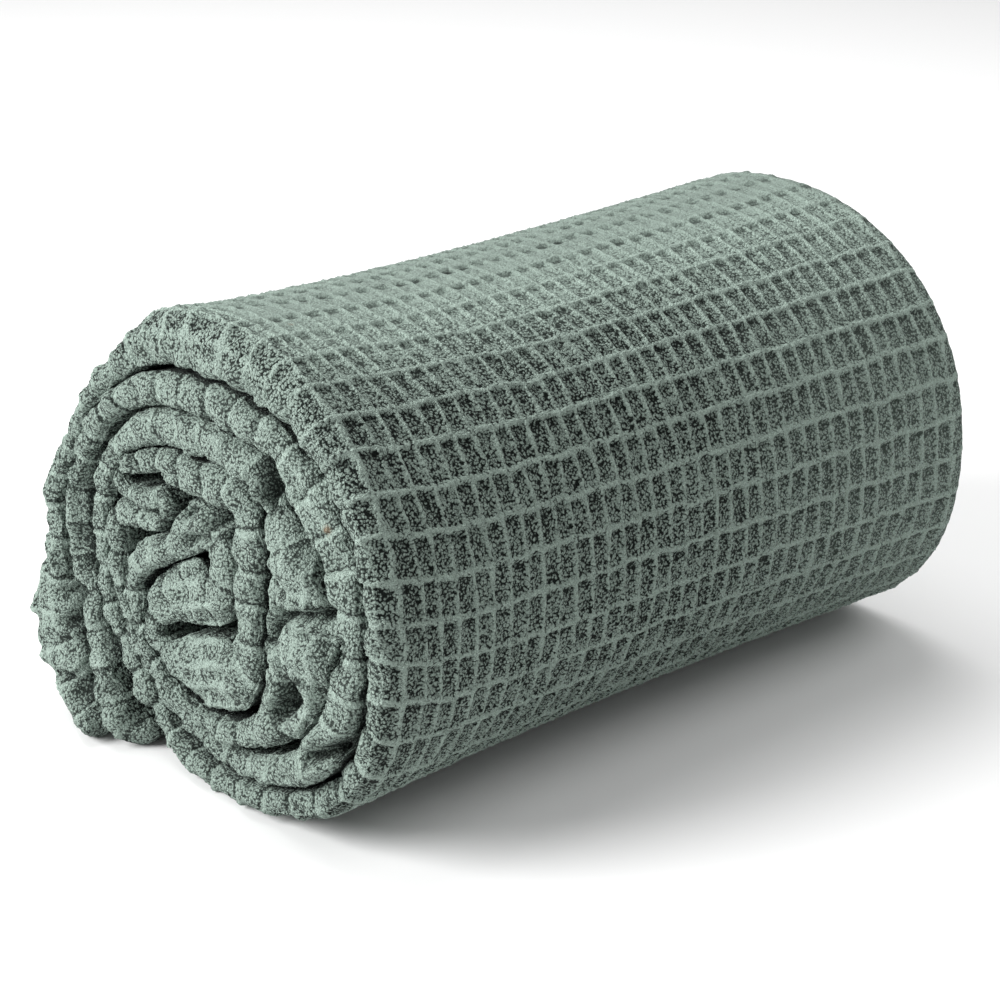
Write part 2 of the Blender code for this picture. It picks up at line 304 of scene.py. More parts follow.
def settledSides(line, thick):
    # Half thickness to each side, less where a fold is tight or another turn lies close. Facing turns
    # are much farther apart along the strip than straight across.
    along = distanceAlong(line)
    normal = leftNormals(line)
    bend = turning(line)
    left, right = insideFold(thick, bend), insideFold(thick, -bend)
    apart = line[None, :, :] - line[:, None, :]
    chord = np.linalg.norm(apart, axis=2)
    facing = np.abs(along[None, :] - along[:, None]) > roll["facingRatio"] * chord
    facing &= (chord > 1e-6) & (chord < roll["facingReach"])
    toLeft = (apart * normal[:, None, :]).sum(axis=2) > 0
    for _ in range(4):
        mine = np.where(toLeft, left[:, None], right[:, None])
        fit = np.where(facing, (chord - roll["turnGap"]) / (mine + mine.T), 1.0)
        left = left * np.minimum(1, np.where(toLeft, fit, 1.0).min(axis=1))
        right = right * np.minimum(1, np.where(toLeft, 1.0, fit).min(axis=1))
    left, right = np.minimum(left, smoothed(left, 2)), np.minimum(right, smoothed(right, 2))
    fromEnd = np.minimum(along, along[-1] - along)
    for side in (left, right):
        side *= np.sqrt(1 - np.clip(1 - fromEnd / side, 0, 1) ** 2)
    return left, right


coarseSteps, fineSteps = 10, 30    # between two rows, for the thickness and for the middle line


def readStrip():
    # The strip's middle line, its normal, its half thickness to each side, and how far its edges stand
    # out. The far edges of the inner turns sway by farSway * sin(2 pi s / farWave).
    rows = stripRows()
    coarse, fine = curveThrough(rows, coarseSteps), curveThrough(rows, fineSteps)
    left, right = settledSides(coarse[:, :2], coarse[:, 2])
    s, at = distanceAlong(fine[:, :2]), np.linspace(0, len(coarse) - 1, len(fine))
    normal = leftNormals(fine[:, :2])
    sway = roll["farSway"] * np.sin(2 * np.pi * s / roll["farWave"]) * (s > roll["farSwayFrom"])
    return {
        "s": s, "y": fine[:, 0], "z": fine[:, 1], "ny": normal[:, 0], "nz": normal[:, 1],
        "left": np.interp(at, range(len(left)), left),
        "right": np.interp(at, range(len(right)), right),
        "near": fine[:, 3], "far": fine[:, 4] + sway,
    }


strip = readStrip()
sOfRow = strip["s"][::fineSteps]
outerStart, outerEnd = sOfRow[len(looseFlap)], sOfRow[len(looseFlap) + len(outerTurn)]
stripLength = strip["s"][-1]
centreX = cadLow.x / mm + roll["length"] / 2 + roll["furthestEdge"]
centreY = cadLow.y / mm + roll["width"] / 2
faceStart = roll["edgeRound"] / 2
faceLength = roll["length"] - 2 * roll["edgeDepth"]
farStart = faceStart + faceLength
farMiddle = farStart + faceStart    # the far fold's outermost line
backStart = farStart + roll["edgeRound"]
print(f"strip of {stripLength:.0f} mm, outer turn to {outerEnd:.0f} mm")

# Where each thing begins and where it is whole, or where it begins to go and is gone.
span = {
    "innerEdges": (0, 60),        # along the strip, from the end of the outer turn
    "flare": (-15, 10),           # along the strip, from the start of the outer turn
    "flareGone": (90, 150),
    "packing": (22, 82),          # in from either folded edge
    "flapGone": (150, 200),       # along the strip
    "top": (215, 275),
    "topGone": (310, 410),
    "topAcross": (2, 47),         # across the strip
    "lean": (230, 290),           # along the strip
    "leanGone": (360, 415),
    "leanAcross": (10, 30),       # across the strip
    "leanAcrossGone": (150, 350),
    "nearFold": (-18, -12),
    "farSoftness": (190, 360),
    "lump": (11, 16),             # by half the strip's thickness
    "betweenTurns": (10, 17),     # painted shade between the turns, from the outermost line of a fold
    "pressed": (1.5, 8.5),        # painted shade in the troughs, by how deep a trough is
}


def rise(value, start, end):
    # From 0 at start to 1 at end, as t^2 (3 - 2 t).
    t = np.clip((value - start) / (end - start), 0, 1)
    return t * t * (3 - 2 * t)


def within(value, name):
    # Up over one span and down again over the one where it goes.
    return rise(value, *span[name]) * (1 - rise(value, *span[name + "Gone"]))


def squarer(sine):
    # A sine or cosine round a folded edge, its size to the power edgeSquare.
    return np.sign(sine) * np.abs(sine) ** roll["edgeSquare"]


def alongStrip(name, s):
    return np.interp(s, strip["s"], strip[name])


def inFromEnd(depth, angle, onFace, standsOut):
    # How far in from the strip's end a point lies: depth * (1 - cos^0.78) round the fold, then along
    # the face, less what the edge stands out, which fades as exp(-distance / edgeFade).
    left = standsOut * np.exp(-onFace / roll["edgeFade"])
    return depth * (1 - squarer(np.cos(angle))) + onFace - left


def skinPoint(s, c):
    # The strip's skin. c is 0 on the near fold's outermost line, above 0 over the right face and below
    # 0 over the left one. Round a fold the section is half a squarish ellipse, and between the folds it
    # is flat. The top swells by flare * exp(-distance / reach) inside the near fold, the turns press
    # together deeper in, and the whole narrows by waist * sin(pi * share^shift) along the roll.
    halfLength, halfHeight = roll["length"] / 2, roll["height"] / 2
    inner = rise(s - outerEnd, *span["innerEdges"])
    depth = roll["edgeDepth"] + (roll["innerDepth"] - roll["edgeDepth"]) * inner
    nearAngle = np.clip(c / faceStart, -1, 1) * np.pi / 2
    farAngle = np.clip((c - farStart) / faceStart - 1, -1, 1) * np.pi / 2
    fromNear = np.maximum(np.abs(c) - faceStart, 0)
    fromFar = np.maximum(np.abs(c - farMiddle) - faceStart, 0)
    nearPart = inFromEnd(depth, nearAngle, fromNear, alongStrip("near", s)) - halfLength
    farPart = halfLength - inFromEnd(depth, farAngle, fromFar, alongStrip("far", s))
    isNear = c < faceStart + faceLength / 2
    x = np.where(isNear, nearPart, farPart)
    toRight = squarer(np.where(isNear, np.sin(nearAngle), -np.sin(farAngle)))
    flare = roll["flare"] * np.exp(-fromNear / roll["flareReach"]) * isNear
    flare = flare * within(s - outerStart, "flare")
    thick = np.where(toRight > 0, alongStrip("right", s), alongStrip("left", s))
    packed = rise(np.minimum(fromNear, fromFar), *span["packing"]) * ((toRight < 0) | (s > outerEnd))
    thick = thick + np.minimum(roll["packingShare"] * thick, roll["packing"]) * packed
    offset = -toRight * (thick + np.where(toRight > 0, flare, 0))
    ny, nz = alongStrip("ny", s), alongStrip("nz", s)
    size = np.hypot(ny, nz)
    y = alongStrip("y", s) + offset * ny / size
    z = alongStrip("z", s) + offset * nz / size
    share = np.clip(x / roll["length"] + 0.5, 0, 1)
    narrower = roll["waist"] * np.sin(np.pi * share ** roll["waistShift"]) / halfHeight
    y = y * (1 - narrower)
    z = z - (z - halfHeight) * narrower
    return np.stack((x, y, np.maximum(z - roll["flatSpot"], 0)), axis=-1)


weave = {
    "rowPitch": 19.0,         # rib to rib along the strip's middle, where no rib is listed
    "columnPitch": 10.1,      # ridge to ridge, along the roll
    "ribRise": 0.9,
    "ribWidth": 1.3,
    "ribBow": 0.45,           # how far back each rib bows between two ridges
    "ribShift": 0.25,         # and how far on it lies at them
    "ribSwell": 0.15,         # how much higher a rib is between two ridges
    "ribOffset": 0.45,        # how unevenly the ribs run from cell to cell
    "ridgeRise": 0.8,
    "ridgeWidth": 1.15,
    "ridgeFoot": 1.8,         # how far from a ridge the floor is reached
    "ridgeFall": 0.25,        # how much lower a ridge gets from one rib to the next
    "ridgeUnder": 0.75,       # and where a rib crosses it
    "ridgeLean": 0.045,       # how far they lean, as a share of a cell's width
    "rimRidge": 0.4,          # how strong the ridge nearest the outer turn's rim is
    "floorDepth": 0.65,
    "floorFrom": 2.2,         # how far below its upper rib a floor is reached
    "floorUntil": 2.3,        # and how far above its lower rib it ends
    "floorClimb": 0.4,        # how much of its depth is lost on the way
    "floorCurve": 1.3,        # above 1 it is lost late
    "pocketDepth": 0.3,       # under each rib
    "pocketPlace": 3.1,
    "pocketWidth": 1.5,
    "knotRise": 0.45,         # knots of yarn, each blended into its neighbours
    "knotBlend": 0.6,
    "edgePillow": 2.0,        # how far the cells swell where the cloth turns round a fold
    "edgePillowReach": 11.0,
    "edgeCrease": 0.8,
    "edgeCreasePlace": 1.1,
    "edgeCreaseWidth": 0.9,
    "flapCrease": 0.6,        # how much shallower the flap's creases are
    "edgeFlatness": 0.5,      # how much lower ribs and ridges are round a fold
    "edgeSoftness": 0.18,     # how much of the top's softness the cloth has round a fold
    "farSoftness": 0.35,      # and towards the far end
    "farFold": 0.4,           # how much of the near folds' swelling the far ones have
    "besidePlace": 2.3,       # a line of painted shade beside each rib round a fold
    "besideWidth": 1.0,
    "lumpPitch": 10.5,        # between the ridges over the thick folds
    "lumpRidgeWidth": 1.8,
    "lumpRise": 1.3,
    "lumpSink": 0.5,          # how deep the cloth sinks between them, as a share of their height
    "lumpSway": 0.12,         # how unevenly they run, as a share of their pitch
    "lumpSwayOver": 9,
    "hidden": 0.35,           # how strong the weave is inside the roll
    "lean": 7.5,              # how far the columns lean to the near end by the top of the roll
    "wobble": 0.42,
    "slipBefore": 0.55,       # how much of a rib's slip the next one has, towards the flap's tip
    "slipAfter": 0.7,         # and towards the tail
    "seed": 11,
}
# How the brushed top differs from the front in relief, at most; its tone, drawn paler and flatter, is
# painted light.
top = {
    "lower": 0.15,            # how much lower its ribs and ridges are
    "shallower": 0.7,
    "deeperPockets": 2.5,
    "pocketShift": 0.3,
    "pocketWider": 0.4,
}
# How pale the cloth is drawn, from 0 to 1, and how much paler or darker each thing makes it. Much of
# it is painted light: painted shade in the sunk floors, in the pockets under the ribs, beside the ribs
# round a fold, between the turns and in the pressed troughs; raised ribs, ridges and lump ridges drawn
# paler, partly the yarn's own paleness and partly painted highlight; and the top drawn paler and
# flatter in tone, as painted light from above.
tones = {
    "floor": 0.42,
    "raised": 0.46,
    "sunk": 0.06,
    "pocket": 0.1,
    "top": 0.72,
    "topRaised": 0.16,
    "topPocket": 0.5,
    "edge": 0.55,
    "edgeSwell": 0.08,
    "edgeRib": 0.38,
    "edgeBeside": 0.32,
    "lump": 0.05,
    "lumpRidge": 0.36,
    "betweenTurns": 0.72,     # painted shade between the turns, a share of what is left
    # painted shade at the bottom of the pressed troughs, a share of what is left
    "pressed": 0.58,
}

# The ribs on the front of the outer turn: each one's place from that turn's start, and how far it has
# slipped back towards the top at each of slipPlaces, from the near rim to the far end.
slipPlaces = (7.0, 30.0, 50.0, 90.0, 130.0, 380.0)
rib = namedtuple("rib", "s slip")
frontRibs = (
    rib(s=28.0, slip=(12, 14, 14, 6, 1, 8)),
    rib(s=46.0, slip=(14, 18, 19, 7.5, 1, 8)),
    rib(s=69.0, slip=(7.5, 11, 12, 8, 3.5, 7)),
    rib(s=87.5, slip=(6.5, 8.5, 10.3, 6.2, 3.5, 4)),
    rib(s=104.0, slip=(8, 7.7, 8.1, 5.9, 1, 2)),
    rib(s=122.8, slip=(11.5, 10.1, 8.8, 6.5, 2.8, 1)),
    rib(s=139.5, slip=(11.4, 9.1, 7.7, 5.5, 2.7, 0)),
    rib(s=157.0, slip=(13, 10.2, 8.5, 5.7, 3.5, -1)),
    rib(s=174.0, slip=(11, 7.7, 6.3, 3.5, 1.8, -2)),
    rib(s=192.3, slip=(12.8, 8.3, 6, 3.8, 1.4, -3)),
    rib(s=211.8, slip=(12.8, 8.3, 5.9, 3.7, 1.8, -3)),
    rib(s=231.8, slip=(15, 10, 6.4, 3.7, 2.3, -4)),
    rib(s=251.8, slip=(17.3, 10.5, 7.8, 3.3, 1.8, -4.5)),
    rib(s=271.5, slip=(17.5, 12, 7, 4, 2, -4)),
    rib(s=290.5, slip=(16.5, 10.5, 5.5, 3.3, 1.5, -4)),
    rib(s=312.5, slip=(16, 7.5, 2.5, 1, 0, -4)),
)
firstRib, lastRib = outerStart + frontRibs[0].s, outerStart + frontRibs[-1].s
rowsBefore = int(np.ceil(firstRib / weave["rowPitch"]))
rowsAfter = int(np.ceil((stripLength - lastRib) / weave["rowPitch"])) + 1
stepsBefore, stepsAfter = np.arange(rowsBefore, 0, -1), np.arange(1, rowsAfter + 1)
ribPlace = np.concatenate((
    firstRib - stepsBefore * weave["rowPitch"],
    [outerStart + row.s for row in frontRibs],
    lastRib + stepsAfter * weave["rowPitch"],
))
ribSlip = np.concatenate((
    np.array(frontRibs[0].slip) * weave["slipBefore"] ** stepsBefore[:, None],
    np.array([row.slip for row in frontRibs]),
    np.array(frontRibs[-1].slip) * weave["slipAfter"] ** stepsAfter[:, None],
))

# How much each rib, ridge, floor and swelling differs from the usual one, from least to most.
uneven = {"rib": (0.75, 1.2), "ridge": (0.65, 1.2), "floor": (0.7, 1.25), "pillow": (0.7, 1.3)}
rimColumn = 8    # the column of ridges nearest the outer turn's rim
tableShape = (len(ribPlace) + 1, 96)
chance = np.random.default_rng(weave["seed"])
ribStrength = chance.uniform(*uneven["rib"], tableShape)
ribOffset = chance.normal(0, weave["ribOffset"], tableShape)
ridgeStrength = chance.uniform(*uneven["ridge"], tableShape)
floorStrength = chance.uniform(*uneven["floor"], tableShape)
pillowStrength = chance.uniform(*uneven["pillow"], tableShape)
ridgeStrength[:, rimColumn] *= weave["rimRidge"]
ridgeLean = chance.normal(0, weave["ridgeLean"], tableShape)
wobbleS = chance.normal(0, weave["wobble"], tableShape)
wobbleC = chance.normal(0, weave["wobble"], tableShape)


def crowded(parts):
    # Shares from 0 up to 1, closer together at both ends: t - 0.08 sin(2 pi t).
    t = np.arange(parts) / parts
    return t - 0.08 * np.sin(2 * np.pi * t)


def cellLines(ridges, parts):
    # Positions across the cloth, with the column that each lies in, its share of the way through it and
    # the column's width.
    c, column, share, width = [], [], [], []
    for j, count in enumerate(parts):
        steps = crowded(count)
        wide = ridges[j + 1] - ridges[j]
        c.append(ridges[j] + steps * wide)
        column.append(np.full(count, j))
        share.append(steps)
        width.append(np.full(count, wide))
    last = (ridges[-1], len(parts) - 1, 1.0, wide)
    return [np.append(np.concatenate(one), end) for one, end in zip((c, column, share, width), last)]


def between(table, row, rowShare, column, columnShare):
    # The table's value at each point, in proportion between the four places round it.
    low = table[row][:, column] * (1 - columnShare) + table[row][:, column + 1] * columnShare
    high = table[row + 1][:, column] * (1 - columnShare) + table[row + 1][:, column + 1] * columnShare
    return low * (1 - rowShare) + high * rowShare


def ribLines(row, rowShare, c):
    # Where each row of points lies along the strip: between two ribs, each at its place less its slip.
    slip = np.stack([np.interp(c, slipPlaces, one) for one in ribSlip])
    low = ribPlace[row][:, None] - slip[row]
    high = ribPlace[row + 1][:, None] - slip[row + 1]
    return low * (1 - rowShare) + high * rowShare


def rounded(distance, width):
    # The section of a rib, ridge or trough: exp(-(distance / width)^2.6).
    return np.exp(-(distance / width) ** 2.6)


def lumpCells(s, c):
    # Ridges lengthwise over the thick folds' rounded ends, where one cell would be too wide: rounded
    # lines a set pitch apart across the thickness, which sway a little along the strip.
    bent = np.sin(np.clip(c / faceStart, -1, 1) * np.pi / 2)
    half = np.where(c > 0, alongStrip("right", s), alongStrip("left", s))
    sway = weave["lumpSway"] * np.sin(s / weave["lumpSwayOver"])
    across = squarer(bent) * half / weave["lumpPitch"] + sway
    gone = np.abs(across - np.floor(across) - 0.5) * weave["lumpPitch"]
    share = rise(half, *span["lump"]) * (np.abs(c) < faceStart)
    return rounded(gone, weave["lumpRidgeWidth"]) * share, share


def relief(row, rowShare, column, columnShare, width, fromFold, edgeness, onTop, onFlap, calm):
    # Height over the skin, and how pale the cloth is drawn, with painted shade in the sunk floors and
    # in the pockets under the ribs. Ribs and ridges are rounded lines, drawn paler, partly as painted
    # highlight;
    # between them the cloth sinks steeply below its upper rib and climbs again to the next. Round a
    # fold each cell swells instead, as the root of sin(pi t), and a rib is a pale line in a crease,
    # with painted shade beside it.
    pitch = weave["rowPitch"]
    floor = floorStrength[row, column]
    arched = np.sin(np.pi * columnShare)
    lower = row + (rowShare > 0.5)
    arch = weave["ribBow"] * arched - weave["ribShift"] + ribOffset[lower, column] * arched ** 0.5
    fromRib = np.where(rowShare > 0.5, rowShare - 1, rowShare) * pitch + arch
    rib = ribStrength[lower, column] * rounded(np.abs(fromRib), weave["ribWidth"])
    rib *= 1 - weave["ribSwell"] + weave["ribSwell"] * arched
    shifted = columnShare + ridgeLean[row, column] * (2 * rowShare - 1)
    nearer = column + (shifted > 0.5)
    toRidge = np.minimum(np.abs(shifted), np.abs(1 - shifted)) * width
    ridge = ridgeStrength[row, nearer] * rounded(toRidge, weave["ridgeWidth"])
    ridge = ridge * (1 - weave["ridgeFall"] * rowShare)
    offRidge = 1 - np.exp(-(toRidge / weave["ridgeFoot"]) ** 4)
    sink = (1 - np.exp(-(rowShare * pitch / weave["floorFrom"]) ** 4)) * offRidge
    sink = sink * (1 - np.exp(-((1 - rowShare) * pitch / weave["floorUntil"]) ** 3))
    sink = sink * (1 - weave["floorClimb"] * rowShare ** weave["floorCurve"])
    pocketPlace = weave["pocketPlace"] + top["pocketShift"] * onTop
    pocketWidth = weave["pocketWidth"] + top["pocketWider"] * onTop
    pocket = np.exp(-((rowShare * pitch + arch - pocketPlace) / pocketWidth) ** 2) * offRidge
    flat = weave["ribRise"] * rib
    flat = flat + weave["ridgeRise"] * ridge * (1 - weave["ridgeUnder"] * np.clip(rib, 0, 1))
    flat = flat * (1 - top["lower"] * onTop)
    flat = flat - floor * weave["floorDepth"] * sink * (1 - top["shallower"] * onTop)
    flat = flat - floor * weave["pocketDepth"] * pocket * (1 + top["deeperPockets"] * onTop)
    swell = pillowStrength[row, column] * np.abs(np.sin(np.pi * rowShare)) ** 0.5
    crease = np.exp(-((fromRib - weave["edgeCreasePlace"]) / weave["edgeCreaseWidth"]) ** 2)
    puffed = weave["edgePillow"] * swell * np.exp(-(fromFold / weave["edgePillowReach"]) ** 4)
    puffed = puffed - weave["edgeCrease"] * crease * (1 - weave["flapCrease"] * onFlap)
    height = flat * (1 - weave["edgeFlatness"] * edgeness) + puffed * edgeness

    # Painted light in the tone: raised lines paler, sunk floors and pockets darker, the top paler and
    # flatter, and round a fold a pale rib line with painted shade beside it.
    raised = np.clip(rib + ridge, 0, 1)
    tone = tones["floor"] + tones["raised"] * raised - tones["sunk"] * floor * sink
    tone = tone + onTop * (tones["top"] + tones["topRaised"] * raised - tone)
    tone = tone - (tones["pocket"] + tones["topPocket"] * onTop ** 2) * pocket * floor * (1 - raised)
    beside = np.exp(-((fromRib - weave["besidePlace"]) / weave["besideWidth"]) ** 2)
    ofEdge = tones["edge"] - tones["edgeSwell"] * swell + tones["edgeRib"] * np.clip(rib, 0, 1)
    tone = tone + edgeness * (ofEdge - tones["edgeBeside"] * beside - tone)
    return calm * height, np.clip(tone, 0, 1)


# Soft troughs and ridges pressed into the near end, each along a straight line from one y, z to
# another. Into is how far the cloth is pushed back there, or below 0 how far it stands out.
trough = namedtuple("trough", "start end width into")
nearEndTroughs = (
    trough((-43.5, 187), (-43.5, 168), width=5, into=22),   # deep recess under the top front fold
    trough((-67, 164), (-81, 152), width=3.6, into=10),
    trough((-52, 117), (-85, 129), width=3, into=12),       # between the two front lumps
    trough((-65, 152), (-70, 140), width=17, into=-6),
    trough((-70, 100), (-68, 92), width=13, into=-5),
    trough((-42, 101), (-50, 118), width=4, into=9),
    trough((-65, 86), (-47, 66), width=5, into=17),
    trough((-52, 90), (-50, 80), width=4, into=9),
    trough((-88, 62), (-72, 53), width=3, into=10),
    trough((-78, 68), (-72, 64), width=5, into=-5),
    trough((-96, 118), (-92, 106), width=3.5, into=9),
    trough((-99, 72), (-88, 62), width=3, into=12),
    trough((22, 142), (12, 146), width=3, into=8),          # creases in the gathered middle
    trough((0, 143), (-8, 148), width=3, into=8),
    trough((-17, 153), (-4, 147), width=2.5, into=6),
    trough((20, 130), (2, 137), width=2.5, into=5),
    trough((62, 145), (40, 155), width=3, into=14),         # eye of the small curl
    trough((44, 126), (27, 149), width=3, into=12),
    trough((119, 150), (116, 92), width=2.5, into=5),       # the back, between two turns
    trough((101, 149), (111, 124), width=2.8, into=6),
    trough((111.5, 124), (111, 86), width=3.2, into=9),
    trough((127, 88), (123, 78), width=2.5, into=4),        # the flap's creases and pockets
    trough((113.5, 72), (114, 56), width=3, into=14),
    trough((119, 54.5), (109, 50.5), width=3, into=8.5),
    trough((109, 48.5), (106.5, 44), width=3, into=7),
    trough((118, 46.5), (107, 41), width=4.2, into=6),
    trough((120, 43), (118, 34), width=3, into=2.5),
    trough((130, 23), (112, 28), width=2.2, into=5),
    trough((113, 28), (99, 23.5), width=3.4, into=8.5),
    trough((106, 21.5), (97, 17), width=4, into=6),
    trough((90, 51), (85, 43), width=2.5, into=6),          # the tail's creases
    trough((79, 33), (75, 26), width=2.5, into=4.5),
    trough((71, 25), (68, 15), width=2.6, into=4.5),
    trough((92, 33), (84, 24), width=2.2, into=2.5),
    trough((103, 40), (97, 33), width=2.2, into=2.5),
)

# Unevenness of the near end as a whole.
wrinkles = {
    "rise": 1.3,
    "lengths": (17, 21, 26, 34, 14),
    "sway": 1.2,              # how much the wrinkles wander, and over how many of their lengths
    "swayLength": 1.7,
    "reach": 28.0,            # how far in they fade
    "troughReach": 30.0,
    "seed": 3,
}


def fadingIn(points, reach):
    # exp(-(distance in from the near end / reach)^2).
    return np.exp(-(np.maximum(points[..., 0] + roll["length"] / 2, 0) / reach) ** 2)


def pressedIn(points, troughs):
    # Each trough is exp(-(distance to its line / width)^2.6).
    y, z = points[..., 1], points[..., 2]
    total = np.zeros(y.shape)
    for one in troughs:
        fromStart = np.stack((y - one.start[0], z - one.start[1]), axis=-1)
        run = np.array(one.end, float) - one.start
        along = np.clip(fromStart @ run / max(run @ run, 1e-9), 0, 1)
        gone = np.linalg.norm(fromStart - along[..., None] * run, axis=-1)
        total += one.into * rounded(gone, one.width)
    return total


def crumple(points, lengths, seed):
    # Smooth unevenness from about -1 to 1: waves in random directions across the end, added up.
    y, z = points[..., 1], points[..., 2]
    dice = np.random.default_rng(seed)
    total = np.zeros(y.shape)
    for long in lengths:
        turn, start = dice.uniform(0, np.pi), dice.uniform(0, 2 * np.pi)
        bend = dice.uniform(0, 2 * np.pi)
        along, aside = y * np.cos(turn) + z * np.sin(turn), z * np.cos(turn) - y * np.sin(turn)
        sway = wrinkles["sway"] * np.sin(2 * np.pi * aside / (wrinkles["swayLength"] * long) + bend)
        total += np.sin(2 * np.pi * along / long + start + sway)
    return total / np.sqrt(len(lengths))


def normalsOf(points):
    # The cross product of the two grid directions at each point.
    normal = np.cross(np.gradient(points, axis=0), np.gradient(points, axis=1))
    return normal / np.maximum(np.linalg.norm(normal, axis=-1), 1e-9)[..., None]


def clothMesh(name, points, uv, fields):
    # One four-sided face between each two rows and two columns of the grid.
    rowsHere, columnsHere = points.shape[:2]
    number = np.arange(rowsHere * columnsHere).reshape(rowsHere, columnsHere)
    quads = np.stack((number[:-1, :-1], number[1:, :-1], number[1:, 1:], number[:-1, 1:]), axis=-1)
    quads = quads.reshape(-1, 4)
    mesh = bpy.data.meshes.new(name)
    mesh.vertices.add(number.size)
    mesh.vertices.foreach_set("co", (points.reshape(-1, 3) * mm).astype(np.float32).ravel())
    mesh.loops.add(quads.size)
    mesh.loops.foreach_set("vertex_index", quads.ravel())
    mesh.polygons.add(len(quads))
    mesh.polygons.foreach_set("loop_start", np.arange(0, quads.size, 4))
    mesh.update(calc_edges=True)
    mesh.polygons.foreach_set("use_smooth", np.ones(len(quads), bool))
    layer = mesh.uv_layers.new(name="cloth")
    layer.data.foreach_set("uv", (uv.reshape(-1, 2)[quads.ravel()] * mm).astype(np.float32).ravel())
    for k, title in enumerate(("tone", "softness")):
        attribute = mesh.attributes.new(title, "FLOAT", "POINT")
        attribute.data.foreach_set("value", fields[..., k].astype(np.float32).ravel())
    mesh.validate()
    piece = bpy.data.objects.new(name, mesh)
    bpy.context.collection.objects.link(piece)
    return piece


limits = {
    "endFade": 8.0,           # the weave fades this near to the strip's two ends
    "widestCell": 40.0,       # wider cells, deep inside the roll, stay plain
    "beforeFace": 14.0,       # how far round its folds the outer face is taken to reach
    "afterFace": 4.0,
    "rimFade": 4.0,           # the near fold's swelling ends over this length, at the rim
    "farFoldShare": 0.8,      # how much of the far fold swells
    "standsOut": 1.2,         # how much farther in a fold that stands out is lit, as a share of that
}


def clothGrid(firstRow, lastRow, rowParts, ridges, parts, rimRidge):
    # The skin with its weave on a grid of cells, from one rib to another and between the ridges given.
    # Each point is kept over the floor by (z + sqrt(z^2 + 0.3)) / 2.
    row = np.append(np.repeat(np.arange(firstRow, lastRow), rowParts), lastRow - 1)
    rowShare = np.append(np.tile(crowded(rowParts), lastRow - firstRow), 1.0)[:, None]
    c, column, columnShare, width = cellLines(ridges, parts)
    s = ribLines(row, rowShare, c) + between(wobbleS, row, rowShare, column, columnShare)
    s = np.clip(s, 0, stripLength)
    across = c[None, :] + between(wobbleC, row, rowShare, column, columnShare)
    across = across - weave["lean"] * within(c, "leanAcross") * within(s, "lean")
    points = skinPoint(s, across)

    nearFold = rise(c, *span["nearFold"]) * (1 - rise(c, rimRidge - limits["rimFade"], rimRidge))
    farFold = np.exp(-((c - farMiddle) / (limits["farFoldShare"] * faceStart)) ** 4)
    edgeness = np.clip(nearFold + weave["farFold"] * farFold, 0, 1)[None, :]
    onOuterFace = (c > faceStart - limits["beforeFace"]) & (c < farStart + limits["afterFace"])
    calm = np.where(onOuterFace[None, :] & (s < outerEnd) | (edgeness > 0.5), 1.0, weave["hidden"])
    calm = calm * np.clip(np.minimum(s, stripLength - s) / limits["endFade"], 0, 1)
    calm = calm * (width <= limits["widestCell"])
    onTop = within(s, "top") * rise(c, *span["topAcross"])
    onFlap = 1 - rise(s, *span["flapGone"])
    fromFold = np.minimum(np.abs(c), np.abs(c - farMiddle))
    height, tone = relief(row[:, None], rowShare, column, columnShare, width,
                          fromFold, edgeness, onTop, onFlap, calm)

    lumpRidge, onLump = lumpCells(s, c)
    height = height + weave["lumpRise"] * (lumpRidge - weave["lumpSink"] * onLump)
    # Lump ridges drawn paler, partly as painted highlight, and the lumps a little darker.
    tone = tone + tones["lumpRidge"] * lumpRidge - tones["lump"] * onLump
    knots = np.random.default_rng([weave["seed"], firstRow]).uniform(-1, 1, s.shape)
    knots = (knots + np.roll(knots, 1, 0) + np.roll(knots, 1, 1)) * weave["knotBlend"]
    height = height + weave["knotRise"] * knots * calm
    points = points + normalsOf(points) * height[..., None]
    wrinkled = wrinkles["rise"] * crumple(points, wrinkles["lengths"], wrinkles["seed"])
    points[..., 0] += wrinkled * fadingIn(points, wrinkles["reach"])
    pressed = pressedIn(points, nearEndTroughs) * fadingIn(points, wrinkles["troughReach"])
    points[..., 0] += pressed
    points[..., 2] = 0.5 * (points[..., 2] + np.sqrt(points[..., 2] ** 2 + roll["floorRounding"]))
    points[..., :2] += (centreX, centreY)

    # Painted shade: the cloth is drawn darker deep in between the turns and at the bottom of the
    # pressed troughs.
    standsOut = np.maximum(alongStrip("near", s), 0)
    litDepth = fromFold - limits["standsOut"] * standsOut
    betweenTurns = rise(litDepth, *span["betweenTurns"]) * ~onOuterFace
    inTroughs = rise(pressed, *span["pressed"])
    darker = np.maximum(tones["betweenTurns"] * betweenTurns, tones["pressed"] * inTroughs)
    tone = np.clip(tone, 0, 1) * (1 - darker)
    # The softness mask also carries the top, whose colours the material draws darker there as painted
    # shade; round the folds and towards the far end it only thins the bumps and the pits' painted
    # shade.
    softness = weave["farSoftness"] * rise(c, *span["farSoftness"])
    softness = np.maximum(onTop * onOuterFace, np.maximum(weave["edgeSoftness"] * edgeness, softness))
    return points, np.stack((s, across), axis=-1), np.stack((tone, softness), axis=-1)


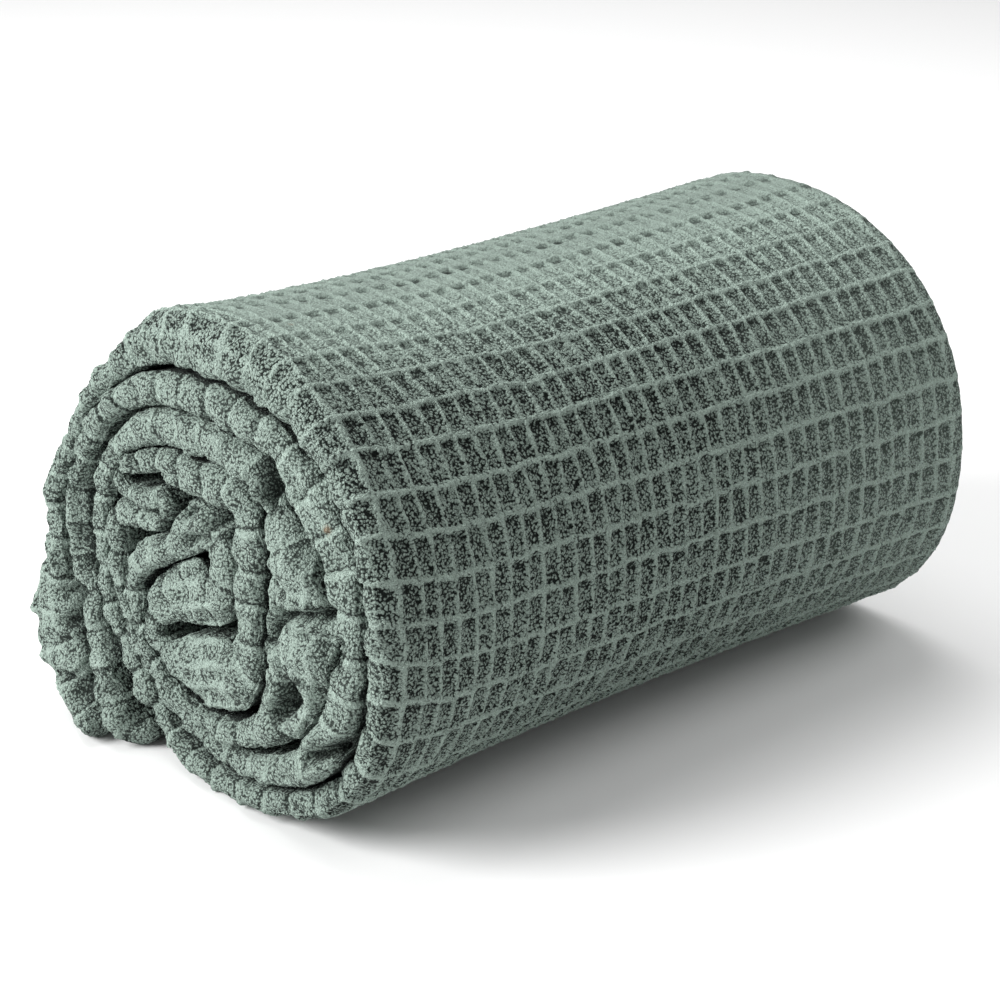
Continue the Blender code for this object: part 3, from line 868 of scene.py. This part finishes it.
cotton = {
    # deep is painted shade for the deepest hollows, pockets and gaps between turns
    "deep": (0.025, 0.033, 0.028),
    "floor": (0.272, 0.342, 0.300),
    "ridge": (0.318, 0.397, 0.350),
    # painted shade in the gaps between the knots of yarn
    "pits": (0.004, 0.007, 0.0055),
    "stain": (0.20, 0.13, 0.075),
    "floorTone": 0.4,         # the tone that has the floor's colour
    "pitStart": 0.34,         # share of a knot's size from its middle, for the floors
    "pitFull": 0.68,
    "pitLater": 0.40,         # how much farther out the pits start on a ridge
    "pitPatches": 0.35,       # how much they differ from place to place
    "patchScale": 0.09,       # patches in a millimetre
    "curlWidth": 0.035,       # fine dark curls of yarn between the pits
    "curlShade": 0.35,
    "grain": 0.32,            # how much the shade varies with the threads
    "grainRange": (0.3, 0.7),
    "threadScale": 1.6,
    "roughness": 0.92,
    "sheen": 0.03,
    "sheenRoughness": 0.5,
    "specular": 0.1,
    "knotSize": 1.3,
    "knotRandomness": 0.95,
    "knotDepth": 1.1,
    "threadDepth": 0.5,
    "warpScale": 0.5,         # how finely and how far the knots are bent out of line
    "warp": 1.8,
    "topSoftness": 0.45,      # how much of the knots' bump depth, and of the pits' painted shade, is left on the top
    "topShade": 0.65,         # painted shade: how much darker the top's colours are drawn, against the front's
    "topShadeFrom": 0.4,
}

# Small brown marks: where each one is on the piece, in millimetres, its radius and how strong it is.
mark = namedtuple("mark", "place radius strength")
stains = (
    mark(place=(-176.5, -97.1, 171.1), radius=3.6, strength=0.75),
    mark(place=(-142.2, -26.9, 238.4), radius=2.4, strength=0.3),
)


def addNode(tree, kind, inputs, **settings):
    # Each input, by its name or number, is a value or another node's output.
    node = tree.nodes.new(kind)
    for name, value in settings.items():
        setattr(node, name, value)
    for name, value in inputs.items():
        if isinstance(value, bpy.types.NodeSocket):
            tree.links.new(value, node.inputs[name])
        else:
            node.inputs[name].default_value = value
    return node


def addMath(tree, operation, *values, **settings):
    node = addNode(tree, "ShaderNodeMath", dict(enumerate(values)), operation=operation, **settings)
    return node.outputs[0]


def addVectorMath(tree, operation, inputs):
    return addNode(tree, "ShaderNodeVectorMath", inputs, operation=operation)


def addRange(tree, value, start, end, low, high, **settings):
    # Low up to start, and high from end on.
    inputs = {"Value": value, "From Min": start, "From Max": end, "To Min": low, "To Max": high}
    return addNode(tree, "ShaderNodeMapRange", inputs, **settings).outputs["Result"]


def addNoise(tree, place, scale, detail, **inputs):
    inputs.update({"Vector": place, "Scale": scale, "Detail": detail})
    return addNode(tree, "ShaderNodeTexNoise", inputs)


def mixedColour(tree, share, first, second):
    # Inputs 6 and 7 and output 2 of a Mix node are its colours.
    return addNode(tree, "ShaderNodeMix", {0: share, 6: first, 7: second}, data_type="RGBA").outputs[2]


def colourOf(shade):
    return (*shade, 1.0)


def newMaterial(name, values):
    material = bpy.data.materials.new(name)
    material.use_nodes = True
    shader = material.node_tree.nodes["Principled BSDF"]
    for title, value in values.items():
        shader.inputs[title].default_value = value
    return material, material.node_tree, shader


def cottonMaterial():
    # Knots of yarn with dark pits between them, painted shade in the gaps, in the piece's own
    # millimetres,
    # drawn over three tones: painted shade of the deepest hollows, the floors and the ridges. The
    # ridges have fewer pits, and the top's colours are darkened by painted shade.
    material, tree, shader = newMaterial("sageCotton", {
        "Roughness": cotton["roughness"],
        "Sheen Weight": cotton["sheen"],
        "Sheen Roughness": cotton["sheenRoughness"],
        "Specular IOR Level": cotton["specular"],
    })
    place = addNode(tree, "ShaderNodeTexCoord", {}).outputs["Object"]
    inMillimetres = addVectorMath(tree, "SCALE", {0: place, "Scale": 1 / mm}).outputs["Vector"]
    bent = addNoise(tree, inMillimetres, cotton["warpScale"], 1.0).outputs["Color"]
    warped = addVectorMath(tree, "MULTIPLY_ADD", {0: bent, 1: (cotton["warp"],) * 3, 2: inMillimetres})
    warped = warped.outputs["Vector"]
    fromKnot = addNode(tree, "ShaderNodeTexVoronoi", {
        "Vector": warped, "Scale": 1 / cotton["knotSize"], "Randomness": cotton["knotRandomness"],
    }, feature="F1").outputs["Distance"]
    threads = addNoise(tree, inMillimetres, cotton["threadScale"], 2.0, Roughness=0.7).outputs["Fac"]
    patches = addNoise(tree, inMillimetres, cotton["patchScale"], 1.5).outputs["Fac"]
    tone = addNode(tree, "ShaderNodeAttribute", {}, attribute_name="tone").outputs["Fac"]
    softness = addNode(tree, "ShaderNodeAttribute", {}, attribute_name="softness").outputs["Fac"]

    later = cotton["pitLater"] / (1 - cotton["floorTone"])
    shift = cotton["pitPatches"] / 2 - later * cotton["floorTone"]
    # The pits are painted shade in the gaps between the knots, more on the floors than on the ridges.
    toPit = addMath(tree, "MULTIPLY_ADD", tone, -later, fromKnot)
    toPit = addMath(tree, "MULTIPLY_ADD", patches, cotton["pitPatches"], toPit)
    pit = addRange(tree, toPit, cotton["pitStart"] + shift, cotton["pitFull"] + shift, 0.0, 1.0)
    fromCurl = addMath(tree, "ABSOLUTE", addMath(tree, "SUBTRACT", threads, 0.5))
    curl = addRange(tree, fromCurl, 0.0, cotton["curlWidth"], cotton["curlShade"], 0.0)
    dark = addMath(tree, "ADD", pit, curl, use_clamp=True)

    # The ramp's darkest stop is painted shade.
    colours = addNode(tree, "ShaderNodeValToRGB", {"Fac": tone})
    ramp = colours.color_ramp.elements
    ramp.new(cotton["floorTone"])
    for stop, shade in zip(ramp, (cotton["deep"], cotton["floor"], cotton["ridge"])):
        stop.color = colourOf(shade)
    grain = addRange(tree, threads, *cotton["grainRange"], 1 - cotton["grain"], 1 + cotton["grain"])
    # Painted shade on the top: its colours are drawn darker; below, the bumps and the pits' painted
    # shade fade there.
    topShade = addRange(tree, softness, cotton["topShadeFrom"], 1.0, 1.0, cotton["topShade"])
    shaded = addMath(tree, "MULTIPLY", grain, topShade)
    grained = addVectorMath(tree, "SCALE", {0: colours.outputs["Color"], "Scale": shaded})
    depth = addRange(tree, softness, 0.0, 1.0, 1.0, cotton["topSoftness"])
    share = addMath(tree, "MULTIPLY", dark, depth)
    colour = mixedColour(tree, share, grained.outputs["Vector"], colourOf(cotton["pits"]))
    for stain in stains:
        gone = addVectorMath(tree, "DISTANCE", {0: warped, 1: stain.place}).outputs["Value"]
        share = addRange(tree, gone, 0.0, stain.radius, stain.strength, 0.0,
                         interpolation_type="SMOOTHSTEP")
        colour = mixedColour(tree, share, colour, colourOf(cotton["stain"]))
    tree.links.new(colour, shader.inputs["Base Color"])

    threadBump = addNode(tree, "ShaderNodeBump", {
        "Strength": depth, "Distance": cotton["threadDepth"] * mm, "Height": threads,
    })
    knotBump = addNode(tree, "ShaderNodeBump", {
        "Strength": depth, "Distance": cotton["knotDepth"] * mm, "Height": fromKnot,
        "Normal": threadBump.outputs["Normal"],
    }, invert=True)
    tree.links.new(knotBump.outputs["Normal"], shader.inputs["Normal"])
    return material


sageCotton = cottonMaterial()
print("cotton mixed")

cells = {
    "outerSteps": 15,         # steps from rib to rib
    "innerSteps": 13,
    "farSteps": 7,
    "faceSteps": 11,          # and from ridge to ridge, on the outer face
    "faceCells": 29,
    "faceFrom": 94.7,
    "outerRim": 3.0,          # how far over the outer face a near fold's swelling reaches
    "innerRim": 15.0,
    "outerWidth": 0.79,       # flat widths of the pieces, in metres
    "innerWidth": 0.40,
    "shortest": 60,           # and the least length, in millimetres
}
# Where the ridges lie across the cloth, as c, and how many steps each cell between two of them has.
nearRidges = [-197, -130, -80, -50, -37, -27, -17, -8, 3, 15, 29, 39.8, 51, 62.4, 73.3, 84.2]
nearParts = [1, 2, 2, 4, 7, 7, 8, 10, 12, 14, 11, 11, 11, 11, 11]
faceRidges = list(cells["faceFrom"] + weave["columnPitch"] * np.arange(cells["faceCells"]))
backRidges = [farStart + x for x in (23, 33, 43, 53, 90, 140)] + [backStart + faceLength / 2]
backParts = [20, 7, 7, 4, 2, 2, 1]
innerRidges = np.array([-205, -130, -80, -50, -36, -26, -12.5, 12.5, 26, 36, 50, 80, 130, 205.0])
innerParts = [1, 2, 2, 4, 6, 9, 38, 9, 6, 4, 2, 2, 1]
farParts = [1, 2, 2, 3, 4, 5, 14, 5, 4, 3, 2, 2, 1]


def finishCloth(name, grid):
    piece = clothMesh(name, *grid)
    piece.data.materials.append(sageCotton)
    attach(piece, "root")
    print(f"{name}: {len(piece.data.polygons)} faces")


def rowAt(s):
    return int(np.searchsorted(ribPlace, s))


outerRows, lastRow = rowAt(outerEnd) + 1, rowAt(stripLength)
outerRidges = np.array(nearRidges + faceRidges + backRidges)
outerParts = nearParts + [cells["faceSteps"]] * cells["faceCells"] + backParts
outerGrid = clothGrid(0, outerRows, cells["outerSteps"], outerRidges, outerParts, cells["outerRim"])
print("outer turn worked out")

quarterRows = np.linspace(0, outerRows, 5).round().astype(int)
for k, name in enumerate(("looseFlapAndBack", "rollTop", "rollFront", "rollUnderside")):
    first, last = quarterRows[k], quarterRows[k + 1]
    part = slice(first * cells["outerSteps"], last * cells["outerSteps"] + 1)
    finishCloth(name, [field[part] for field in outerGrid])

halfWay = (outerRows + lastRow) // 2
for name, first, last in (
    ("secondTurnAndCore", outerRows - 1, halfWay),
    ("returnTurnAndTail", halfWay, lastRow),
):
    grid = clothGrid(first, last, cells["innerSteps"], innerRidges, innerParts, cells["innerRim"])
    finishCloth(name, grid)
farRidges = innerRidges + farMiddle
farGrid = clothGrid(outerRows - 1, lastRow, cells["farSteps"], farRidges, farParts, cells["innerRim"])
finishCloth("farEndTurns", farGrid)
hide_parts("rolled_blanket")
print("inner turns worked out")

# Lengths on the stage are in metres.
stage = {
    "azimuth": -40.28,
    "elevation": 23.32,
    "distance": 1.2465,
    "aim": (-0.0015, -0.0066, -0.0140),   # from the middle of the blanket's box
    "lens": 87.5,
    "sensor": 36.0,
    "floor": (0.86, 0.86, 0.86),
    "floorHalf": 4.0,
    "world": 0.42,
    "lampDistance": 2.2,
}
lamp = namedtuple("lamp", "name azimuth elevation size power")
lamps = (
    lamp(name="overhead", azimuth=160, elevation=68, size=2.0, power=34.0),
    lamp(name="endLight", azimuth=-112, elevation=28, size=1.3, power=69.0),
    lamp(name="frontFill", azimuth=45, elevation=50, size=1.4, power=11.2),
)


def placedAt(azimuth, elevation, distance, aim):
    # A point at a distance from aim. Azimuth 0 is on the side of lower y, and 90 on that of higher x.
    a, e = np.radians(azimuth), np.radians(elevation)
    back = np.array((np.sin(a) * np.cos(e), -np.cos(a) * np.cos(e), np.sin(e)))
    return aim + back * distance


def lookingAt(thing, place, aim):
    thing.location = place
    thing.rotation_mode = "QUATERNION"
    direction = Vector(tuple(np.array(aim) - np.array(place)))
    thing.rotation_quaternion = direction.to_track_quat("-Z", "Y")


def linked(name, data):
    thing = bpy.data.objects.new(name, data)
    bpy.context.collection.objects.link(thing)
    return thing


middle = np.array((cadLow + cadHigh) / 2)
floorMesh = bpy.data.meshes.new("floor")
half = stage["floorHalf"]
corners = [(-half, -half, 0), (half, -half, 0), (half, half, 0), (-half, half, 0)]
floorMesh.from_pydata(corners, [], [(0, 1, 2, 3)])
floorValues = {"Base Color": colourOf(stage["floor"]), "Roughness": 1.0}
floorMesh.materials.append(newMaterial("paleFloor", floorValues)[0])
linked("floor", floorMesh)

world = bpy.data.worlds.new("studio")
bpy.context.scene.world = world
world.use_nodes = True
world.node_tree.nodes["Background"].inputs["Color"].default_value = colourOf((1, 1, 1))
world.node_tree.nodes["Background"].inputs["Strength"].default_value = stage["world"]
for one in lamps:
    light = bpy.data.lights.new(one.name, "AREA")
    light.shape = "DISK"
    light.size = one.size
    light.energy = one.power
    place = placedAt(one.azimuth, one.elevation, stage["lampDistance"], middle)
    lookingAt(linked(one.name, light), place, middle)

cameraData = bpy.data.cameras.new("camera")
cameraData.lens = stage["lens"]
cameraData.sensor_width = stage["sensor"]
camera = linked("camera", cameraData)
aim = middle + np.array(stage["aim"])
lookingAt(camera, placedAt(stage["azimuth"], stage["elevation"], stage["distance"], aim), aim)
bpy.context.scene.camera = camera
bpy.context.scene.view_settings.view_transform = "Standard"

print("stage set")
